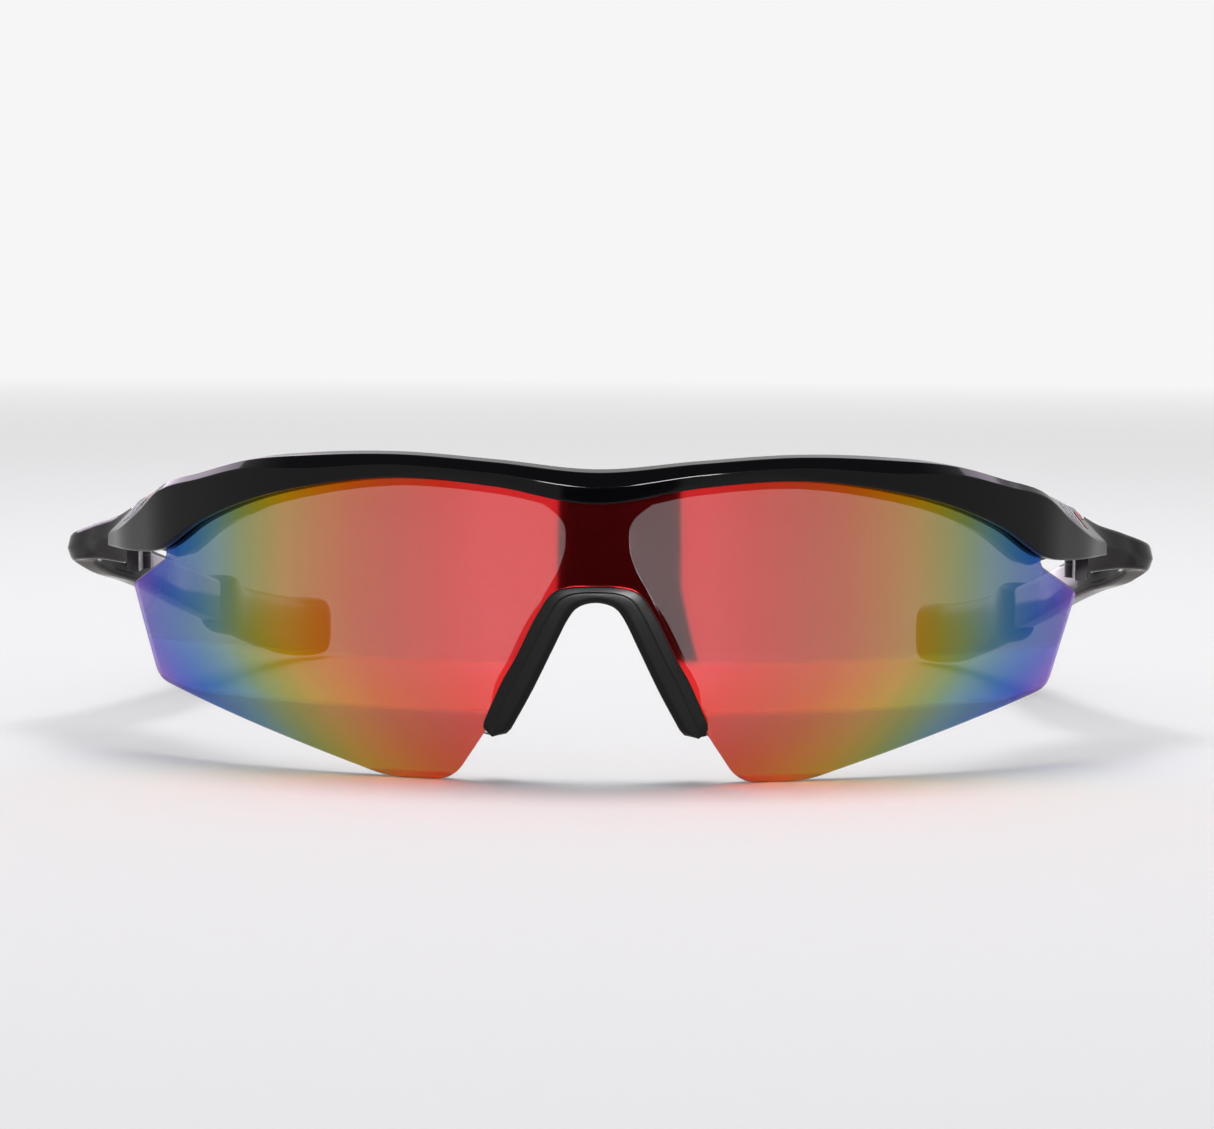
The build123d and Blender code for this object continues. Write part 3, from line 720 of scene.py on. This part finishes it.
MOVING_GAP = 0.35
KNUCKLE_RADIUS = 1.7
LEAF_THICKNESS = 1.6
LEAF_ROOM_LENGTH = 13.0
LEAF_ROOM_STOP = 0.4
CORNER_LENGTH = 12.0
INWARD = 9.0
BELOW_ARM, ABOVE_ARM = -5.0, 50.0
TEMPLE_SLICES = 90
TEMPLE_ROUND = 0.28
SIDES = {"left": 1, "right": -1}
for name, side in SIDES.items():
    rows = []
    for dx, dy, share, wide, *shape in TEMPLE:
        rows.append((HINGE_X + dx, HINGE_Y + dy, up(share), wide * TEMPLE_THICKNESS, *shape))
    bm = closed_skin(mirrored(bar_rings(rows, TEMPLE_SLICES, TEMPLE_ROUND), side))
    bmesh.ops.recalc_face_normals(bm, faces=bm.faces[:])
    trim_at_joint(bm, JOINT_GAP, keep_front=False)
    low, high = HINGE_LIFT - MOVING_GAP, SCREW_TOP + MOVING_GAP
    leaf_out = HINGE_X + LEAF_THICKNESS / 2 + MOVING_GAP
    inner = HINGE_X - INWARD
    bm = cut_with(bm, side, low, high, inner, leaf_out, HINGE_Y - LEAF_ROOM_LENGTH, HINGE_Y - LEAF_ROOM_STOP)
    bm = barrel_room(bm, side, KNUCKLE_RADIUS + MOVING_GAP, low, high)
    bm = cut_with(
        bm, side, BELOW_ARM, ABOVE_ARM, inner, HINGE_X + MOVING_GAP, HINGE_Y - CORNER_LENGTH, HINGE_Y)
    arm = finish_piece(
        bm, f"arm_{name}", f"temple_arm_{name}", "gloss_black", f"temple_{name}", bevel=0.2, sharp=30)
    arm.data.materials.append(black)

# --- Ear socks -----------------------------------------------------------------------------------
# A soft rubber sleeve pushed over each arm's thin end. It deepens toward its tip, curls in behind
# the ear and rests on the table when the glasses stand open.

SOCK_THICKNESS = 4.2
SOCK_HEIGHT = 9.6
SOCK = [
    (0.0, 0.00, 0.320, 0.84, 0.70), (-0.1, 0.01, 0.318, 0.94, 0.74), (-2.3, 0.30, 0.247, 1.00, 0.82),
    (-5.2, 0.60, 0.180, 1.03, 0.92), (-8.6, 0.84, 0.134, 0.99, 0.99), (-11.0, 0.93, 0.126, 0.84, 0.97),
    (-12.6, 0.98, 0.124, 0.60, 0.80), (-13.3, 1.00, 0.124, 0.22, 0.46),
]
SOCK_SLICES = 70
SOCK_ROUND = 0.45
TABLE_CLEARANCE = 0.00001
for name, side in SIDES.items():
    rows = []
    for dx, share, height, wide, tall in SOCK:
        x, y = HINGE_X + SHOULDER[0] + dx, HINGE_Y + SHOULDER[1] + share * SOCK_LENGTH
        rows.append((x, y, up(height), wide * SOCK_THICKNESS, tall * SOCK_HEIGHT, 0, 0, 0.5))
    bm = closed_skin(mirrored(bar_rings(rows, SOCK_SLICES, SOCK_ROUND), side))
    for v in bm.verts:
        v.co.z = max(v.co.z, TABLE_CLEARANCE)
    sock = finish_piece(bm, f"rubber_sock_{name}", f"temple_arm_{name}", "soft_rubber", f"ear_sock_{name}")
    sock.data.materials.append(rubber)

# --- Hinges --------------------------------------------------------------------------------------
# Three blackened steel knuckles on a slotted screw, with a thin plastic washer at each side of the
# middle one. The front leaf is moulded into the lug and the rear leaf into the arm.


def hinge_steel():
    """Blackened steel, rubbed a little brighter in places."""
    material, tree, at = new_material("blackened_steel")
    scratch = noise(tree, at, 1500.0, 4.0)
    rub = noise(tree, at, 320.0, 3.0)
    colour = tree.node("ShaderNodeMix", {"data_type": "RGBA"}, {
        "Factor": (rub * 2.0 - 0.9).clamp(), 6: (0.020, 0.018, 0.022, 1), 7: (0.06, 0.055, 0.06, 1)}, out=2)
    return surface(material, tree, {
        "Base Color": colour, "Metallic": 0.7, "Roughness": 0.42 + scratch * 0.2,
        "Normal": bumps(tree, scratch, 0.1, 0.00005),
    })


def screw_steel():
    """Dark turned steel with fine lathe rings."""
    material, tree, at = new_material("turned_steel")
    rings = noise(tree, at, 3200.0, 2.0)
    return surface(material, tree, {
        "Base Color": (0.10, 0.095, 0.105, 1), "Metallic": 1.0, "Roughness": 0.22 + rings * 0.16,
        "Normal": bumps(tree, rings, 0.15, 0.00004),
    })


def washer_nylon():
    """Black nylon, slightly uneven in colour."""
    material, tree, at = new_material("black_nylon")
    mottle = noise(tree, at, 900.0, 3.0)
    colour = tree.node("ShaderNodeMix", {"data_type": "RGBA"}, {
        "Factor": mottle, 6: (0.014, 0.013, 0.016, 1), 7: (0.030, 0.028, 0.032, 1)}, out=2)
    return surface(material, tree, {"Base Color": colour, "Roughness": 0.42 + mottle * 0.1})


steel, bright, nylon = hinge_steel(), screw_steel(), washer_nylon()
for name in SIDES:
    finishes = {
        f"hinge_front_leaf_{name}": steel, f"hinge_temple_leaf_{name}": steel,
        f"hinge_screw_{name}": bright, f"hinge_washer_upper_{name}": nylon,
        f"hinge_washer_lower_{name}": nylon,
    }
    for node, finish in finishes.items():
        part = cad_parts[node]
        part.data.materials.clear()
        part.data.materials.append(finish)

# --- Marks on the lugs ---------------------------------------------------------------------------
# A generic mark printed on each lug's outer facet: three slanted bars in pale ink with a red
# bracket beside them. It reads the same way round on both sides.

INK_PROUD = 0.06
INK_THICKNESS = 0.12
BARS_AT = {"left": 1.022, "right": 1.066}
BRACKET_AT = {"left": 1.094, "right": 0.992}
BARS_CLIMB = 0.48
BRACKET_CLIMB = 0.5
BAR_PITCH = 1.9


def facet_point(share, climb, proud):
    """A point over the lug's outer facet, from its lower edge at 0 to its ridge at 1."""
    corners = brow_corners(abs(share))
    low, high = corners[7], corners[8]
    offset = low[0] + climb * (high[0] - low[0])
    z = low[1] + climb * (high[1] - low[1])
    lean = atan2(low[0] - high[0], high[1] - low[1])
    return on_ring(share, offset + proud * cos(lean), z + proud * sin(lean))


def ink_patch(outline, share, climb):
    """A thin ink shape laid on the facet: its outline runs along the lug and up the facet."""
    corners = brow_corners(abs(share))
    tall = np.hypot(corners[8][0] - corners[7][0], corners[8][1] - corners[7][1])
    turn = 180 / pi / LENS_HALF_ANGLE / BASE_RADIUS
    rings = []
    for proud in (INK_PROUD - INK_THICKNESS, INK_PROUD):
        rings.append([facet_point(share + p * turn, climb + q / tall, proud) for p, q in outline])
    return closed_skin(rings)


def ink(name, colour, dark):
    """Screen-printed ink with pinholes and a soft sheen."""
    material, tree, at = new_material(name)
    pits = noise(tree, at, 2400.0, 3.0)
    mixed = tree.node("ShaderNodeMix", {"data_type": "RGBA"}, {
        "Factor": (pits * 2.0 - 0.7).clamp(), 6: (*dark, 1), 7: (*colour, 1)}, out=2)
    return surface(material, tree, {
        "Base Color": mixed, "Roughness": 0.25 + pits * 0.15, "Normal": bumps(tree, pits, 0.05, 0.00003)})


def join(shapes):
    """Several bmeshes as one."""
    whole = bmesh.new()
    for shape in shapes:
        spare = bpy.data.meshes.new("spare")
        shape.to_mesh(spare)
        shape.free()
        whole.from_mesh(spare)
        bpy.data.meshes.remove(spare)
    return whole


pale_ink = ink("pale_ink", srgb(226, 220, 232), srgb(178, 170, 188))
red_ink = ink("red_ink", srgb(186, 44, 50), srgb(128, 22, 28))
BAR = [(-1.0, -1.45), (0.0, -1.45), (1.0, 1.45), (0.0, 1.45)]
BRACKET = [
    (-1.6, 0.45), (-1.6, 1.45), (1.3, 1.45), (1.65, 0.6), (1.5, -1.4), (0.6, -1.4), (0.7, 0.1), (0.4, 0.45),
]
INK_SHARP = 60
for name, side in SIDES.items():
    bars = []
    for shift in (-BAR_PITCH, 0, BAR_PITCH):
        bars.append(ink_patch([(p + shift, q) for p, q in BAR], side * BARS_AT[name], BARS_CLIMB))
    piece = finish_piece(
        join(bars), f"printed_bars_{name}", "front", "badge_white", f"badge_{name}", sharp=INK_SHARP)
    piece.data.materials.append(pale_ink)
    bracket = [(-p * side, q) for p, q in BRACKET]
    patch = ink_patch(bracket, side * BRACKET_AT[name], BRACKET_CLIMB)
    piece = finish_piece(
        patch, f"printed_bracket_{name}", "front", "accent_red", f"accent_{name}", sharp=INK_SHARP)
    piece.data.materials.append(red_ink)

# --- Studio --------------------------------------------------------------------------------------
# A pale seamless table under one soft top light. All the rest is cards that only show in
# reflections: two softboxes with a dark gap between them, pale panels behind, two bright strips,
# and round the lens's foot a glowing pale sheet and a dim sheet: a painted reflection of the lit
# table and painted shade of the glasses on it.

bpy.context.scene.view_settings.view_transform = "Standard"
PALE = 0.921
FLOOR_RADIUS = 6.0
FADE_START = 0.35
FADE_LENGTH = 1.2
bm = bmesh.new()
bmesh.ops.create_circle(bm, cap_ends=True, segments=96, radius=FLOOR_RADIUS)
floor_mesh = bpy.data.meshes.new("table")
bm.to_mesh(floor_mesh)
bm.free()
floor = bpy.data.objects.new("table", floor_mesh)
bpy.context.scene.collection.objects.link(floor)
material, tree, at = new_material("pale_table")
reach = tree.node("ShaderNodeVectorMath", {"operation": "LENGTH"}, {0: at}, out="Value")
far = ((reach - FADE_START) / FADE_LENGTH).clamp()
near_shader = tree.node("ShaderNodeBsdfDiffuse", (), {"Color": (0.92, 0.92, 0.925, 1)})
far_shader = tree.node("ShaderNodeEmission", (), {"Color": (PALE, PALE, PALE, 1), "Strength": 1.0})
mixed = tree.node("ShaderNodeMixShader", (), {"Fac": far, 1: near_shader, 2: far_shader})
tree.node("ShaderNodeOutputMaterial", (), {"Surface": mixed})
floor.data.materials.append(material)

world = bpy.data.worlds.new("studio")
bpy.context.scene.world = world
world.use_nodes = True
world.node_tree.nodes.clear()
sky = Link(world.node_tree)
seen = sky.node("ShaderNodeLightPath", out="Is Camera Ray")
plain = sky.node("ShaderNodeBackground", (), {"Color": (PALE, PALE, PALE, 1), "Strength": 1.0})
dim = sky.node("ShaderNodeBackground", (), {"Color": (0.20, 0.19, 0.21, 1), "Strength": 1.0})
heading = sky.node("ShaderNodeTexCoord", out="Generated")
behind = sky.node("ShaderNodeSeparateXYZ", (), {"Vector": heading}, out="Y")
room = sky.node("ShaderNodeMixShader", (), {"Fac": (behind * 2.0 - 0.1).clamp(0.0, 0.8), 1: dim, 2: plain})
both = sky.node("ShaderNodeMixShader", (), {"Fac": seen, 1: room, 2: plain})
sky.node("ShaderNodeOutputWorld", (), {"Surface": both})


def softbox(name, place, target, wide, tall, power):
    """A broad rectangular light aimed at a point."""
    data = bpy.data.lights.new(name, "AREA")
    data.shape = "RECTANGLE"
    data.size, data.size_y = wide, tall
    data.energy = power
    light = bpy.data.objects.new(name, data)
    bpy.context.scene.collection.objects.link(light)
    place, target = Vector(place), Vector(target)
    aim = (target - place).to_track_quat("-Z", "Y").to_matrix().to_4x4()
    light.matrix_world = Matrix.Translation(place) @ aim
    light.visible_camera = light.visible_glossy = False


bend_centre = Vector((0, (APEX_Y + BASE_RADIUS) * MM, 0))


def around(degrees_right, distance, height):
    """A place round the lens's centre of bend: 0 degrees is straight in front of it."""
    angle = radians(degrees_right)
    return bend_centre + Vector((sin(angle) * distance, -cos(angle) * distance, height))


softbox("top_light", (0, 0.15, 1.1), (0, 0, 0), 0.8, 0.6, 8.0)


CARD_STEPS = 48


def reflected_only(name, profile, start, stop, colour):
    """A card swept round the centre of bend, which only shows in reflections."""
    bm = bmesh.new()
    verts = [bm.verts.new(around(start, distance, height)) for distance, height in profile]
    edges = [bm.edges.new(pair) for pair in zip(verts, verts[1:])]
    bmesh.ops.spin(
        bm, geom=verts + edges, cent=bend_centre, axis=(0, 0, 1), dvec=(0, 0, 0),
        angle=radians(stop - start), steps=CARD_STEPS, use_merge=False,
    )
    mesh = bpy.data.meshes.new(name)
    bm.to_mesh(mesh)
    bm.free()
    card = bpy.data.objects.new(name, mesh)
    bpy.context.scene.collection.objects.link(card)
    card.visible_camera = card.visible_diffuse = card.visible_shadow = card.visible_transmission = False
    material, tree, at = new_material(name)
    glow = tree.node("ShaderNodeEmission", (), {"Color": (*colour, 1), "Strength": 1.0})
    tree.node("ShaderNodeOutputMaterial", (), {"Surface": glow})
    card.data.materials.append(material)


WALL = [(0.160, 0.002), (0.75, 0.002), (0.75, 0.6)]
reflected_only("left_softbox", WALL, -98.0, -9.0, (0.82, 0.80, 0.80))
reflected_only("right_softbox", WALL, 15.0, 98.0, (0.76, 0.74, 0.74))
reflected_only("dim_room", WALL, -9.0, 15.0, (0.040, 0.036, 0.048))
# A glowing pale sheet round the lens's foot, seen only in reflections: a painted reflection of the lit
# table.
reflected_only("reflected_lit_table", [(0.105, 0.0015), (0.160, 0.0015)], -98.0, 98.0, (0.98, 0.97, 0.96))
# A dim sheet under and round the lens's foot, seen only in reflections: painted shade of the glasses on the
# table.
reflected_only("reflected_table_shade", [(0.040, 0.001), (0.105, 0.001)], -120.0, 120.0, (0.66, 0.62, 0.60))
reflected_only("left_back_panel", [(0.70, 0.20), (0.70, 0.75)], -168.0, -118.0, (4.2, 3.7, 4.4))
reflected_only("right_back_panel", [(0.70, 0.47), (0.70, 0.85)], 118.0, 168.0, (4.2, 3.7, 4.4))
reflected_only("between_the_arms", [(0.143, 0.004), (0.143, 0.034)], 160.0, 200.0, (4.6, 4.1, 4.7))
STRIP = [(0.65, 0.20), (0.65, 0.36)]
reflected_only("left_strip", STRIP, -11.0, -4.5, (70, 70, 70))
reflected_only("right_strip", STRIP, 4.0, 22.0, (70, 70, 70))

# --- Camera --------------------------------------------------------------------------------------
# A long lens half a metre in front of the glasses, a little to the wearer's left of the middle and
# above them, tipped down a few degrees. Its focal length is a multiple of the sensor's width.

FOCAL_SHARE = 3.313
SENSOR = 36.0
DISTANCE = 0.500
EYE_HEIGHT = 0.0663
YAW = radians(1.6)
AIM_RIGHT = radians(0.15)
PITCH = radians(4.41)
ROLL = radians(0.45)
data = bpy.data.cameras.new("camera")
data.sensor_width = SENSOR
data.lens = FOCAL_SHARE * SENSOR
data.clip_start = 0.01
camera = bpy.data.objects.new("camera", data)
bpy.context.scene.collection.objects.link(camera)
stand = Vector((DISTANCE * sin(YAW), APEX_Y * MM - DISTANCE * cos(YAW), EYE_HEIGHT))
turn = Matrix.Rotation(YAW - AIM_RIGHT, 4, "Z") @ Matrix.Rotation(pi / 2 - PITCH, 4, "X")
camera.matrix_world = Matrix.Translation(stand) @ turn @ Matrix.Rotation(ROLL, 4, "Z")
bpy.context.scene.camera = camera
